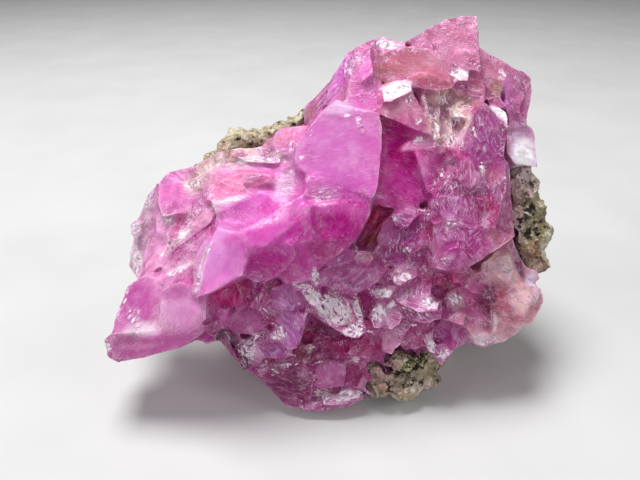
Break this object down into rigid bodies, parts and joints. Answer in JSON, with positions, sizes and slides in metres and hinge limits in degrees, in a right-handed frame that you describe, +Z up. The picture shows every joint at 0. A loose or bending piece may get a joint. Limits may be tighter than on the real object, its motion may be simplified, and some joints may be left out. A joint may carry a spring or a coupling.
{
  "type": "mineral specimen",
  "caption": "Hand specimen of cobaltoan calcite: pink crystals and cleavage blocks grown together on grey-tan host rock, leaning back, with a thin shelf at one side.",
  "frame": {"origin": "under the middle of the specimen, on the surface that it rests on", "axes": "+X along the specimen's length, from the thin shelf to the rounded lobes; +Y from the display side to the broken back; +Z up"},
  "size_m": [0.0404, 0.0252, 0.0315],
  "materials": {
    "calcite": "satin",
    "host_rock": "matte"
  },
  "bodies": {
    "root": {"calcite": "calcite", "host_rock": "host_rock"}
  },
  "joints": []
}
